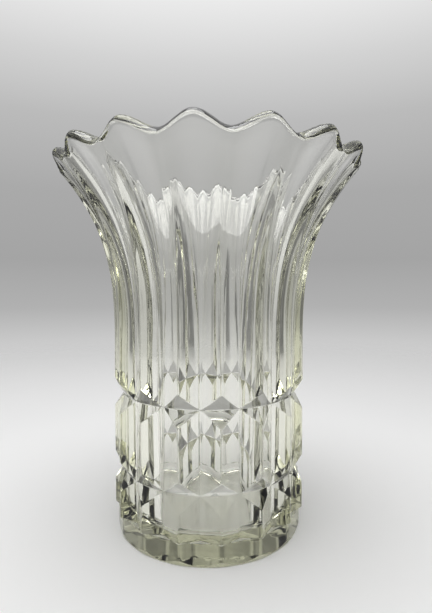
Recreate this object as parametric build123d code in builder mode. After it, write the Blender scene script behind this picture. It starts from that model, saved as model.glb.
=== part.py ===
"""Pressed-glass fan vase: one piece of clear glass with a panelled foot, a pleated body
cut by two rings of diamonds, and pleats that open into a flared, scalloped mouth.

Frame: +Z up, origin at the centre of the underside. -Y is the front, and the mouth is
drawn out a little further along X than along Y. Millimetres.
"""
import math
import os

from build123d import *

# Whole vase
overall_height = 206.0
pleat_count = 16

# Foot: a low block with one flat panel to each pleat. Its lower edge is ground to a steep
# cone, so that each panel ends in an arc which rises from the middle to the corners
foot_radius = 52.2
foot_height = 11.6
foot_lift = 0.4
foot_arch = 2.4

# Pleated body: the ridges stand on the corners of the foot, the flutes lie between them
body_radius = 53.8
pleat_depth = 5.4

# Rings: V grooves turned round the body, as deep as the pleats, so that diamonds stand out
lower_ring_height = 33.4
upper_ring_height = 75.0
ring_half_height = 8.3

# Flare: the pleats soften and spread towards the mouth, which is wider than it is deep
flare_height = 95.0
mouth_width = 180.0
mouth_depth = 167.0
rim_pleat_depth = 2.4
flare_power = 3
flare_section_shares = (0.0, 0.3, 0.56, 0.8, 1.0)
flank_hollow_share = 0.25

# Scalloped rim: a tooth on each flute, a notch on each ridge
scallop_drop = 5.2
rim_flat = 3.2

# Inside: a smooth plunger hollow over the base
floor_height = 10.5
floor_round = 5.0
floor_wall = 7.4
body_wall = 5.3
rim_wall = 6.2

# Cuts run this far past the surface that they leave
overrun = 4.0

flute_radius = body_radius - pleat_depth
floor_radius = flute_radius - floor_wall
pleat_step = 2 * math.pi / pleat_count
flare_rise = overall_height - flare_height
mouth_slope = flare_power * ((mouth_width + mouth_depth) / 4 - flute_radius) / flare_rise
mouth_lean = math.atan(mouth_slope)
rim_wall_across = rim_wall / math.cos(mouth_lean)
crest_height = overall_height - rim_flat / 2 * math.sin(mouth_lean)
rim_reach = rim_wall + overrun
clear_radius = max(mouth_width, mouth_depth) / 2 + rim_pleat_depth + 2 * overrun


def flute_radii(height):
    """Half width and half depth over the flutes at a height on the flare."""
    spread = max(0, (height - flare_height) / flare_rise) ** flare_power
    across = flute_radius + spread * (mouth_width / 2 - flute_radius)
    along = flute_radius + spread * (mouth_depth / 2 - flute_radius)
    return across, along


def around(radii, turn, outward=0):
    """A point at a turn from the front, on an oval that is moved outward."""
    return ((radii[0] + outward) * math.sin(turn), -(radii[1] + outward) * math.cos(turn))


def pleat_outline(height):
    """The pleated outline at a height: two flanks to each pleat, hollowed towards the rim."""
    rise_share = max(0, (height - flare_height) / flare_rise)
    depth = pleat_depth + rise_share * (rim_pleat_depth - pleat_depth)
    hollow = flank_hollow_share * rise_share * depth
    radii = flute_radii(height)
    for pleat in range(pleat_count):
        flute = around(radii, pleat * pleat_step)
        ridge = around(radii, (pleat + 1 / 2) * pleat_step, depth)
        next_flute = around(radii, (pleat + 1) * pleat_step)
        for start, end in ((flute, ridge), (ridge, next_flute)):
            middle = Vector((start[0] + end[0]) / 2, (start[1] + end[1]) / 2)
            if hollow > 0:
                ThreePointArc(start, middle - middle.normalized() * hollow, end)
            else:
                Line(start, end)


def hollow_radii(height):
    """Half width and half depth of the inside at a height."""
    draft_share = (height - floor_height) / (overall_height - floor_height)
    draft = (floor_wall - body_wall) * (1 - draft_share)
    rise_share = max(0, (height - flare_height) / flare_rise)
    wall = body_wall + (rim_wall_across - body_wall) * rise_share
    across, along = flute_radii(height)
    return across - wall - draft, along - wall - draft


def rim_place(turn):
    """The middle of the waved rim at a turn: its place in plan, and its height."""
    wave_share = (1 - math.cos(pleat_count * turn)) / 2
    height = crest_height - scallop_drop * wave_share
    return Vector(*around(flute_radii(height), turn, -rim_wall_across / 2)), height


def rim_plane(turn):
    """The upright plane through the axis and the rim at a turn."""
    outward = rim_place(turn)[0].normalized()
    return Plane((0, 0, 0), x_dir=outward, z_dir=outward.cross(Vector(0, 0, 1)))


def rim_outline(turn):
    """What is cut away over the rim at a turn, so that the leaning wall keeps a softened edge."""
    place, height = rim_place(turn)

    def leaning(square, along):
        return (
            place.length + square * math.cos(mouth_lean) + along * math.sin(mouth_lean),
            height - square * math.sin(mouth_lean) + along * math.cos(mouth_lean),
        )

    inner_end = leaning(-rim_reach, rim_flat / 2 - rim_reach)
    outer_end = leaning(rim_reach, rim_flat / 2 - rim_reach)
    Polyline(
        leaning(-rim_flat / 2, 0),
        leaning(rim_flat / 2, 0),
        outer_end,
        (clear_radius, outer_end[1]),
        (clear_radius, overall_height + 2 * overrun),
        (inner_end[0], overall_height + 2 * overrun),
        inner_end,
        close=True,
    )


section_heights = [flare_height + share * flare_rise for share in flare_section_shares]
section_heights.append(overall_height + overrun)

with BuildPart() as hollow:
    # The plunger's shape: a drafted round body with a rounded end, opening into an oval flare
    with BuildSketch(Plane.XZ):
        with BuildLine():
            corner = (floor_radius, floor_height)
            corner_start = (floor_radius - floor_round, floor_height)
            corner_end = (hollow_radii(floor_height + floor_round)[0], floor_height + floor_round)
            shoulder = (hollow_radii(flare_height)[0], flare_height)
            Bezier(corner_start, corner, corner_end)
            Polyline(corner_end, shoulder, (0, flare_height), (0, floor_height), corner_start)
        make_face()
    revolve(axis=Axis.Z)
    for height in section_heights:
        with BuildSketch(Plane.XY.offset(height)):
            Ellipse(*hollow_radii(height))
    loft()

with BuildPart() as scallops:
    # What the rim lacks: pleat by pleat, from half way down one tooth to half way down the next
    for pleat in range(pleat_count):
        for quarter in range(1, 6):
            turn = (pleat + quarter / 4) * pleat_step
            with BuildSketch(rim_plane(turn)):
                with BuildLine():
                    rim_outline(turn)
                make_face()
        loft()

with BuildPart() as vase_body:
    # Foot: panelled block, with its lower edge ground to a cone
    with BuildSketch():
        RegularPolygon(foot_radius, pleat_count, rotation=math.degrees(pleat_step) / 2 - 90)
    extrude(amount=foot_height)
    foot_flat_radius = foot_radius * math.cos(pleat_step / 2)
    ground_slope = foot_arch / (foot_radius - foot_flat_radius)
    standing_radius = foot_flat_radius - foot_lift / ground_slope
    with BuildSketch(Plane.XZ):
        with BuildLine():
            Polyline(
                (standing_radius, 0),
                (standing_radius + overrun, 0),
                (standing_radius + overrun, overrun * ground_slope),
                close=True,
            )
        make_face()
    revolve(axis=Axis.Z, mode=Mode.SUBTRACT)

    # Pleated body, straight up from the foot
    with BuildSketch(Plane.XY.offset(foot_height)):
        with BuildLine():
            pleat_outline(foot_height)
        make_face()
    extrude(amount=flare_height - foot_height)

    # Two rings of diamonds: V grooves whose bottoms just meet the flutes
    ring_slope = ring_half_height / pleat_depth
    with BuildSketch(Plane.XZ):
        for ring_height in (lower_ring_height, upper_ring_height):
            with BuildLine():
                Polyline(
                    (flute_radius, ring_height),
                    (body_radius + overrun, ring_height + (pleat_depth + overrun) * ring_slope),
                    (body_radius + overrun, ring_height - (pleat_depth + overrun) * ring_slope),
                    close=True,
                )
            make_face()
    revolve(axis=Axis.Z, mode=Mode.SUBTRACT)

    # Flare: the pleated outline widens to the mouth
    for height in section_heights:
        with BuildSketch(Plane.XY.offset(height)):
            with BuildLine():
                pleat_outline(height)
            make_face()
    loft()

    # Inside, and the rim
    add(hollow.part, mode=Mode.SUBTRACT)
    add(scallops.part, mode=Mode.SUBTRACT)

vase_body.part.label = "vase_body"
os.makedirs("parts", exist_ok=True)
export_step(vase_body.part, "parts/vase_body.step")
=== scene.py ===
import math

import bmesh
import bpy
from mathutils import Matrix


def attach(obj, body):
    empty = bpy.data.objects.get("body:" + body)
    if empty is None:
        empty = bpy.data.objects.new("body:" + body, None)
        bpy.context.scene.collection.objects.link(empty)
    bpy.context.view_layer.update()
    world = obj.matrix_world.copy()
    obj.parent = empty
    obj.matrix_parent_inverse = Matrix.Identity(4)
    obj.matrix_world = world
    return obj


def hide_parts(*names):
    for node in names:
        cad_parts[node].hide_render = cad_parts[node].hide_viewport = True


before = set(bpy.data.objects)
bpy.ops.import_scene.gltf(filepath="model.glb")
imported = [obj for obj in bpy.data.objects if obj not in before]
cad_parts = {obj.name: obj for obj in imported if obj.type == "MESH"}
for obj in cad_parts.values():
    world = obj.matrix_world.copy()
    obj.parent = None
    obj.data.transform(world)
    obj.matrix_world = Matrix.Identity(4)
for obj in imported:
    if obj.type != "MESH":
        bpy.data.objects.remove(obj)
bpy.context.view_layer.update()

# Foot of the vase: a low block of clear pressed glass with one flat panel under each flute.
# The whole vase is one piece of glass, so it is drawn as one skin, ring by ring: from the
# underside outward, up the outside, over the rim and down the inside.
mm = 0.001
pleat_count = 16
half_pleat = math.pi / pleat_count
foot_radius = 52.2 * mm
foot_height = 11.6 * mm
# the ground lower edge meets a panel this high in its middle, and rises so much to its corners
foot_lift = 0.4 * mm
foot_arch = 2.4 * mm
edge_round = 0.5 * mm
corner_softness_share = 0.12
# places across half a pleat, from the middle of a flute to the ridge
station_shares = (0, 0.035, 0.11, 0.27, 0.46, 0.665, 0.82, 0.91, 0.965, 1)
ground_row_shares = (0.3, 0.75, 1)
stations = len(station_shares) - 1
panel_reach = foot_radius * math.cos(half_pleat)
ground_slope = foot_arch / (foot_radius - panel_reach)
stand_radius = panel_reach - foot_lift / ground_slope
underside_radius = stand_radius - 2 * edge_round

bpy.ops.object.select_all(action="DESELECT")
bpy.ops.mesh.primitive_circle_add(
    vertices=2 * pleat_count * stations, radius=underside_radius, fill_type="TRIFAN"
)
vase = bpy.context.object
vase.name = "vase_glass"
vase.data.name = "vase_glass"
bpy.ops.object.mode_set(mode="EDIT")
bpy.ops.mesh.select_mode(type="VERT")
# half width, half depth and height of each station of the ring that was drawn last
drawn = [(underside_radius, underside_radius, 0)] * (stations + 1)


def turn_of(point):
    """How far round the axis a point lies, from the front."""
    return math.atan2(point.co.x, -point.co.y) % (2 * math.pi)


def open_ring():
    """The selected ring of points, in order round the axis, starting in the front flute."""
    glass = bmesh.from_edit_mesh(vase.data)
    ring = sorted((point for point in glass.verts if point.select), key=turn_of)
    if turn_of(ring[-1]) > 2 * math.pi - half_pleat * station_shares[1] / 2:
        ring.insert(0, ring.pop())
    return ring


def pick(ring, points):
    """Selects some points of a ring alone."""
    for point in ring:
        point.select = False
    for point in points:
        point.select = True
    bmesh.from_edit_mesh(vase.data).select_flush_mode()
    bmesh.update_edit_mesh(vase.data, loop_triangles=False, destructive=False)


def at_station(ring, station, sides=(1, -1)):
    """The points of a ring at one station: on flanks from a flute on (1), back to one (-1), or both."""
    found = []
    for place, point in enumerate(ring):
        step = place % (2 * stations)
        if (step == station and 1 in sides) or (2 * stations - step == station and -1 in sides):
            found.append(point)
    return found


def draw_ring(place):
    """Extrudes the open ring and moves each station to its half width, half depth and height."""
    bpy.ops.mesh.extrude_region_move()
    ring = open_ring()
    for station, share in enumerate(station_shares):
        wide, deep, high = place(share)
        wide_before, deep_before, high_before = drawn[station]
        pick(ring, at_station(ring, station))
        bpy.ops.transform.resize(
            value=(wide / wide_before, deep / deep_before, 1), center_override=(0, 0, 0)
        )
        bpy.ops.transform.translate(value=(0, 0, high - high_before))
        drawn[station] = (wide, deep, high)
    pick(ring, ring)


def between(start, end, share):
    """A value a share of the way from start to end."""
    return start + (end - start) * share


def as_wide_as_deep(radius, height):
    """A place on a part of the vase that isn't oval."""
    return radius, radius, height


# the circle's even points are turned to their stations, close together beside flutes and ridges
glass = bmesh.from_edit_mesh(vase.data)
for point in glass.verts:
    point.select = point.co.length > underside_radius / 2
first_ring = open_ring()
for station in range(1, stations):
    lead = (station_shares[station] - station / stations) * half_pleat
    for side in (1, -1):
        pick(first_ring, at_station(first_ring, station, (side,)))
        bpy.ops.transform.rotate(value=-side * lead, orient_axis="Z", center_override=(0, 0, 0))
pick(first_ring, first_ring)


def panel(share):
    """Radius of the panelled foot at a station, with the panels' corners a little rounded."""
    back = share - corner_softness_share
    ahead = 1 - abs(1 - share - corner_softness_share)
    return sum(panel_reach / math.cos(place * half_pleat) / 2 for place in (back, ahead))


def stand_rise(share):
    """Height at which the ground lower edge meets a panel, so that the panel ends in an arc."""
    return ground_slope * (panel(share) - stand_radius)


for inset in (edge_round, 0):
    draw_ring(lambda share: as_wide_as_deep(stand_radius - inset, 0))
for rise_share in ground_row_shares:
    draw_ring(lambda share: as_wide_as_deep(
        between(stand_radius, panel(share), rise_share), rise_share * stand_rise(share)
    ))
draw_ring(lambda share: as_wide_as_deep(panel(share), stand_rise(share) + edge_round))
for drop in (edge_round, 0):
    draw_ring(lambda share: as_wide_as_deep(panel(share), foot_height - drop))

# Body of the vase: sixteen pressed pleats, straight up from the foot, with two V grooves
# turned round them as deep as the pleats, so that rows of diamonds stand between the grooves.
body_radius = 53.8 * mm
pleat_depth = 5.4 * mm
ring_heights = (33.4 * mm, 75 * mm)
ring_half_height = 8.3 * mm
flare_height = 95 * mm
body_softness_share = 0.035
ledge_row_shares = (0.12, 0.88, 1)
# rows down the lower side of a groove to its bottom, and out again on the upper side
groove_in_shares = (0.06, 0.5, 0.95, 1)
groove_out_shares = (0.95, 0.5, 0.06, 0)
flute_radius = body_radius - pleat_depth


def flank(flute, depth, hollow, share, softness_share):
    """Radius at a station of a flank, hollowed in its middle and rounded at flute and ridge."""

    def sharp(place):
        turn = place * half_pleat
        ridge = flute + depth
        across = flute * math.sin(turn) + ridge * math.sin(half_pleat - turn)
        return flute * ridge * math.sin(half_pleat) / across - 4 * hollow * place * (1 - place)

    back = abs(share - softness_share)
    ahead = 1 - abs(1 - share - softness_share)
    return (sharp(back) + sharp(ahead)) / 2


def pleat(share):
    """Radius of the straight pleats at a station."""
    return flank(flute_radius, pleat_depth, 0, share, body_softness_share)


def groove_reach(share):
    """How far above and below a groove's middle the groove meets the pleats at a station."""
    return (pleat(share) - flute_radius) * ring_half_height / pleat_depth


for ledge_share in ledge_row_shares:
    draw_ring(lambda share: as_wide_as_deep(
        between(panel(share), pleat(share), ledge_share), foot_height
    ))
draw_ring(lambda share: as_wide_as_deep(pleat(share), foot_height + edge_round))
for ring_height in ring_heights:
    for drop in (edge_round, 0):
        draw_ring(lambda share: as_wide_as_deep(
            pleat(share), ring_height - groove_reach(share) - drop
        ))
    for side, row_shares in ((-1, groove_in_shares), (1, groove_out_shares)):
        for groove_share in row_shares:
            draw_ring(lambda share: as_wide_as_deep(
                between(pleat(share), flute_radius, groove_share),
                ring_height + side * groove_reach(share) * (1 - groove_share),
            ))
    draw_ring(lambda share: as_wide_as_deep(
        pleat(share), ring_height + groove_reach(share) + edge_round
    ))
draw_ring(lambda share: as_wide_as_deep(pleat(share), flare_height))

# Flare and rim: while the glass was still soft the pleats were opened into an oval mouth, and
# its edge was melted round in the fire, so that it runs in a wave of sixteen teeth.
overall_height = 206 * mm
mouth_width = 180 * mm
mouth_depth = 167 * mm
rim_pleat_depth = 4.4 * mm
rim_softness_share = 0.3
flare_power = 3
flank_hollow_share = 0.25
scallop_drop = 5.2 * mm
rim_flat = 3.2 * mm
rim_wall = 6.2 * mm
rim_bulge = 3 * mm
body_wall = 5.3 * mm
floor_wall = 7.4 * mm
floor_height = 10.5 * mm
flare_rows = 24
rim_rows = 8
flare_rise = overall_height - flare_height
mouth_slope = flare_power * ((mouth_width + mouth_depth) / 4 - flute_radius) / flare_rise
mouth_lean = math.atan(mouth_slope)
rim_wall_across = rim_wall / math.cos(mouth_lean)
crest_height = overall_height - rim_flat / 2 * math.sin(mouth_lean)


def flute_radii(height):
    """Half width and half depth over the flutes at a height."""
    spread = max(0, (height - flare_height) / flare_rise) ** flare_power
    return [between(flute_radius, reach / 2, spread) for reach in (mouth_width, mouth_depth)]


def outside(share, height):
    """Half width and half depth of the outside at a station and height."""
    rise_share = max(0, (height - flare_height) / flare_rise)
    depth = between(pleat_depth, rim_pleat_depth, rise_share)
    hollow = flank_hollow_share * rise_share * depth
    softness_share = between(body_softness_share, rim_softness_share, rise_share ** 2)
    return [flank(flute, depth, hollow, share, softness_share) for flute in flute_radii(height)]


def inside(height):
    """Half width and half depth of the hollow at a height."""
    draft_share = (overall_height - height) / (overall_height - floor_height)
    draft = (floor_wall - body_wall) * draft_share
    rise_share = max(0, (height - flare_height) / flare_rise)
    wall = between(body_wall, rim_wall_across, rise_share)
    return [flute - wall - draft for flute in flute_radii(height)]


def wave_height(share):
    """Height of the middle of the rim at a station: a tooth on the flute, a notch on the ridge."""
    return crest_height - scallop_drop * (1 - math.cos(math.pi * share)) / 2


def rim_start(share, side):
    """Height at which the outside (-1) or the inside (1) goes over into the rounded rim."""
    lean_drop = rim_bulge * math.cos(mouth_lean)
    return wave_height(share) - lean_drop + side * rim_wall / 2 * math.sin(mouth_lean)


def flare_place(share, row_share):
    """A place up the outside of the flare."""
    height = between(flare_height, rim_start(share, -1), row_share)
    return (*outside(share, height), height)


def rim_place(share, row_share):
    """A place over the rounded rim, from the outside to the inside."""
    outer = (*outside(share, rim_start(share, -1)), rim_start(share, -1))
    inner = (*inside(rim_start(share, 1)), rim_start(share, 1))
    top = [flute - rim_wall_across / 2 for flute in flute_radii(wave_height(share))]
    top.append(wave_height(share))
    turn = row_share * math.pi
    place = []
    for out, mid, end in zip(outer, top, inner):
        middle = (out + end) / 2
        place.append(middle + (out - middle) * math.cos(turn) + (mid - middle) * math.sin(turn))
    return place


for row in range(1, flare_rows + 1):
    draw_ring(lambda share: flare_place(share, row / flare_rows))
for row in range(1, rim_rows + 1):
    draw_ring(lambda share: rim_place(share, row / rim_rows))

# Inside of the vase: the smooth hollow that the plunger left, with a rounded end over a thick
# base. The skin is closed at the middle of its floor.
floor_round = 5 * mm
corner_rows = 8
weld = 0.002 * mm
corner_height = floor_height + floor_round
corner_reach = inside(corner_height)[0] - floor_round


def hollow_place(share, row_share):
    """A place down the inside of the flare."""
    height = between(rim_start(share, 1), flare_height, row_share)
    return (*inside(height), height)


for row in range(1, flare_rows + 1):
    draw_ring(lambda share: hollow_place(share, row / flare_rows))
for row in range(corner_rows + 1):
    corner_turn = row / corner_rows * math.pi / 2
    draw_ring(lambda share: as_wide_as_deep(
        corner_reach + floor_round * math.cos(corner_turn),
        corner_height - floor_round * math.sin(corner_turn),
    ))
draw_ring(lambda share: as_wide_as_deep(corner_reach / 2, floor_height))
bpy.ops.mesh.extrude_region_move()
bpy.ops.mesh.merge(type="CENTER")

bpy.ops.mesh.select_all(action="SELECT")
bpy.ops.mesh.remove_doubles(threshold=weld)
bpy.ops.mesh.normals_make_consistent(inside=False)
bpy.ops.object.mode_set(mode="OBJECT")
bpy.ops.object.shade_smooth()
bpy.ops.object.modifier_add(type="WEIGHTED_NORMAL")
bpy.ops.object.modifier_apply(modifier=vase.modifiers[0].name)

# the glass: clear, with a faint olive cast where it is thick. The fire left it gently waved, the
# plunger drew fine upright streaks up the flare, and the lower edge of the foot is ground.
glass_cast = (0.667, 0.683, 0.1, 1)
cast_density = 6
fire_wave_depth = 0.4 * mm
fire_wave_strength = 0.25
fire_waves_per_metre = 60
streak_depth = 0.1 * mm
streaks_per_metre = 300
streak_stretch = 40
streak_fade = (88 * mm, 120 * mm)
ground_roughness = 0.35
ground_margin = (0.12 * mm, 0.04 * mm)
clear_glass = bpy.data.materials.new("clear_glass")
clear_glass.use_nodes = True
glass_tree = clear_glass.node_tree
shader = glass_tree.nodes["Principled BSDF"]
shader.inputs["Base Color"].default_value = (1, 1, 1, 1)
shader.inputs["IOR"].default_value = 1.52
shader.inputs["Transmission Weight"].default_value = 1
cast = glass_tree.nodes.new("ShaderNodeVolumeAbsorption")
cast.inputs["Color"].default_value = glass_cast
cast.inputs["Density"].default_value = cast_density
glass_tree.links.new(cast.outputs["Volume"], glass_tree.nodes["Material Output"].inputs["Volume"])


def worked_out(tree, operation, *values):
    """A sum over values in a material or room."""
    node = tree.nodes.new("ShaderNodeMath")
    node.operation = operation
    for slot, value in enumerate(values):
        if isinstance(value, (int, float)):
            node.inputs[slot].default_value = value
        else:
            tree.links.new(value, node.inputs[slot])
    return node.outputs["Value"]


def changing(tree, value, start, end, low, high):
    """A smooth change from low to high while a value goes from start to end."""
    node = tree.nodes.new("ShaderNodeMapRange")
    node.interpolation_type = "SMOOTHSTEP"
    for name, limit in (("From Min", start), ("From Max", end), ("To Min", low), ("To Max", high)):
        node.inputs[name].default_value = limit
    tree.links.new(value, node.inputs["Value"])
    return node.outputs["Result"]


def split(tree, coordinates):
    """The three values of a place on an object, or of a direction in the room."""
    parts = tree.nodes.new("ShaderNodeSeparateXYZ")
    source = tree.nodes.new("ShaderNodeTexCoord").outputs[coordinates]
    tree.links.new(source, parts.inputs["Vector"])
    return [parts.outputs[axis] for axis in "XYZ"]


def axis_reach(tree, across, along):
    """How far a place lies from the upright axis."""
    squares = [worked_out(tree, "POWER", side, 2) for side in (across, along)]
    return worked_out(tree, "SQRT", worked_out(tree, "ADD", *squares))


def waves(per_metre, *place):
    """Noise over the glass, by a place of three values."""
    point = glass_tree.nodes.new("ShaderNodeCombineXYZ")
    for slot, value in enumerate(place):
        glass_tree.links.new(value, point.inputs[slot])
    noise = glass_tree.nodes.new("ShaderNodeTexNoise")
    noise.inputs["Scale"].default_value = per_metre
    glass_tree.links.new(point.outputs["Vector"], noise.inputs["Vector"])
    return noise.outputs["Fac"]


def raised(height, depth, strength):
    """Bump of a height pattern."""
    bump = glass_tree.nodes.new("ShaderNodeBump")
    bump.inputs["Strength"].default_value = strength
    bump.inputs["Distance"].default_value = depth
    glass_tree.links.new(height, bump.inputs["Height"])
    return bump


across, along, up = split(glass_tree, "Object")
reach = axis_reach(glass_tree, across, along)
fire_pattern = waves(fire_waves_per_metre, across, along, up)
fire_waves = raised(fire_pattern, fire_wave_depth, fire_wave_strength)
# the streaks keep to their turn round the axis, so that they run out with the flare
body_scale = worked_out(glass_tree, "DIVIDE", body_radius, reach)
on_body = [worked_out(glass_tree, "MULTIPLY", side, body_scale) for side in (across, along)]
drawn_out = worked_out(glass_tree, "DIVIDE", up, streak_stretch)
streak_pattern = waves(streaks_per_metre, *on_body, drawn_out)
in_flare = changing(glass_tree, up, *streak_fade, 0, 1)
streaks = raised(worked_out(glass_tree, "MULTIPLY", streak_pattern, in_flare), streak_depth, 1)
glass_tree.links.new(fire_waves.outputs["Normal"], streaks.inputs["Normal"])
glass_tree.links.new(streaks.outputs["Normal"], shader.inputs["Normal"])
cone_reach = worked_out(glass_tree, "MULTIPLY_ADD", up, 1 / ground_slope, stand_radius)
short_of_cone = worked_out(glass_tree, "SUBTRACT", cone_reach, reach)
on_cone = changing(glass_tree, short_of_cone, *ground_margin, 0, ground_roughness)
low_down = changing(glass_tree, up, foot_arch, foot_arch + 2 * foot_lift, 1, 0)
ground_edge = worked_out(glass_tree, "MULTIPLY", on_cone, low_down)
glass_tree.links.new(ground_edge, shader.inputs["Roughness"])
vase.data.materials.clear()
vase.data.materials.append(clear_glass)

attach(vase, "root")
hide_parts("vase_body")

# Table: a wide sheet of plain white paper under the vase. Further off it fades away, so that it
# goes over into the backdrop without an edge.
table_size = 12
table_drop = 0.2 * mm
paper_white = 0.92
paper_fade = (0.35, 1)
bpy.ops.object.select_all(action="DESELECT")
bpy.ops.mesh.primitive_plane_add(size=table_size, location=(0, 0, -table_drop))
table = bpy.context.object
table.name = "table"
paper = bpy.data.materials.new("white_paper")
paper.use_nodes = True
paper_tree = paper.node_tree
paper_shader = paper_tree.nodes["Principled BSDF"]
paper_shader.inputs["Base Color"].default_value = (paper_white, paper_white, paper_white, 1)
paper_shader.inputs["Roughness"].default_value = 0.7
paper_shader.inputs["Specular IOR Level"].default_value = 0.2
table_reach = axis_reach(paper_tree, *split(paper_tree, "Object")[:2])
far_off = changing(paper_tree, table_reach, *paper_fade, 0, 1)
clear = paper_tree.nodes.new("ShaderNodeBsdfTransparent")
blend = paper_tree.nodes.new("ShaderNodeMixShader")
paper_surface = paper_tree.nodes["Material Output"].inputs["Surface"]
paper_tree.links.new(far_off, blend.inputs["Fac"])
paper_tree.links.new(paper_shader.outputs["BSDF"], blend.inputs[1])
paper_tree.links.new(clear.outputs["BSDF"], blend.inputs[2])
paper_tree.links.new(blend.outputs["Shader"], paper_surface)
table.data.materials.append(paper)

# Light: one broad soft lamp overhead, in a plain grey room that is paler low down and high up.
# Dark screens stand at its four corners, and a dark gap lies over the backdrop: they give clear
# glass its edges, and are seen through the glass alone.
lamp_data = bpy.data.lights.new("overhead", "AREA")
lamp_data.shape = "DISK"
lamp_data.size = 1
lamp_data.energy = 9.3
lamp = bpy.data.objects.new("overhead", lamp_data)
lamp.location = (-0.05, -0.15, 1.1)
bpy.context.scene.collection.objects.link(lamp)

# level of the room by how far a direction points upward
room_levels = (
    (-0.3, 0.81), (-0.2, 0.765), (-0.12, 0.61), (-0.04, 0.44), (0.06, 0.372),
    (0.2, 0.4), (0.34, 0.497), (0.44, 0.65), (0.54, 0.85), (0.75, 1),
)
# the screens' edges lie near the corners, which are 1, and their tops are given by upward
screen_level = 0.3
screen_edges = (0.85, 0.98)
screen_tops = (0.35, 0.5)
# how dark the gap is, how much and how often that changes round the room, and where it lies
gap_depth = 0.65
gap_unevenness = 0.15
gap_changes = 25
gap_up = 0.54
gap_edges = (0.05, 0.14)
# share of the room's own light that falls on the paper
paper_share = 0.45
# keeps the sum for the corners sound straight up and straight down
least_level_part = 0.001
world = bpy.data.worlds.new("room")
bpy.context.scene.world = world
world.use_nodes = True
room = world.node_tree
background = room.nodes["Background"]
rightward, backward, upward = split(room, "Generated")

# a new ramp has two stops
lowest, highest = room_levels[0][0], room_levels[-1][0]
grey = room.nodes.new("ShaderNodeValToRGB")
stops = grey.color_ramp.elements
for stop in range(2, len(room_levels)):
    stops.new(stop / len(room_levels))
for stop, (height, level) in zip(stops, room_levels):
    stop.position = (height - lowest) / (highest - lowest)
    stop.color = (level, level, level, 1)
over_lowest = worked_out(room, "SUBTRACT", upward, lowest)
room.links.new(worked_out(room, "DIVIDE", over_lowest, highest - lowest), grey.inputs["Fac"])
room.links.new(grey.outputs["Color"], background.inputs["Color"])

# twice rightward times backward, over the level part of the direction squared, is 1 in a corner
upward_square = worked_out(room, "MULTIPLY", upward, upward)
level_part = worked_out(room, "SUBTRACT", 1 + least_level_part, upward_square)
slant = worked_out(room, "ABSOLUTE", worked_out(room, "MULTIPLY", rightward, backward))
corner_share = worked_out(room, "DIVIDE", worked_out(room, "MULTIPLY", slant, 2), level_part)
in_corner = changing(room, corner_share, *screen_edges, 1, screen_level)
screens = worked_out(room, "MAXIMUM", in_corner, changing(room, upward, *screen_tops, 0, 1))
off_gap = worked_out(room, "ABSOLUTE", worked_out(room, "SUBTRACT", upward, gap_up))
in_gap = changing(room, off_gap, *gap_edges, 1, 0)
round_room = worked_out(room, "SINE", worked_out(room, "MULTIPLY", rightward, gap_changes))
uneven = worked_out(room, "MULTIPLY_ADD", round_room, gap_unevenness, gap_depth)
gap = worked_out(room, "SUBTRACT", 1, worked_out(room, "MULTIPLY", in_gap, uneven))
through_glass = worked_out(room, "MULTIPLY", screens, gap)
light_path = room.nodes.new("ShaderNodeLightPath")
to_camera, in_reflection, in_glass = (
    light_path.outputs[name] for name in ("Is Camera Ray", "Is Glossy Ray", "Is Transmission Ray")
)
seen = worked_out(room, "MAXIMUM", to_camera, worked_out(room, "MAXIMUM", in_reflection, in_glass))
on_paper = changing(room, seen, 0, 1, paper_share, 1)
shown = worked_out(room, "MAXIMUM", to_camera, through_glass)
room.links.new(worked_out(room, "MULTIPLY", shown, on_paper), background.inputs["Strength"])

# Camera: a telephone's lens held close, a little right of the front and below the rim. It dips
# and turns a few degrees, and its focal length is given as a share of the picture's height.
focal_share = 0.7346
camera_dip = math.radians(2.31)
camera_turn = math.radians(3.93)
camera_data = bpy.data.cameras.new("camera")
camera_data.sensor_fit = "VERTICAL"
camera_data.sensor_height = 36
camera_data.lens = camera_data.sensor_height * focal_share
camera_data.clip_start = 0.01
camera = bpy.data.objects.new("camera", camera_data)
camera.location = (0.0219, -0.2593, 0.1329)
camera.rotation_euler = (math.pi / 2 - camera_dip, 0, camera_turn)
bpy.context.scene.collection.objects.link(camera)
bpy.context.scene.camera = camera

bpy.context.scene.view_settings.view_transform = "Standard"
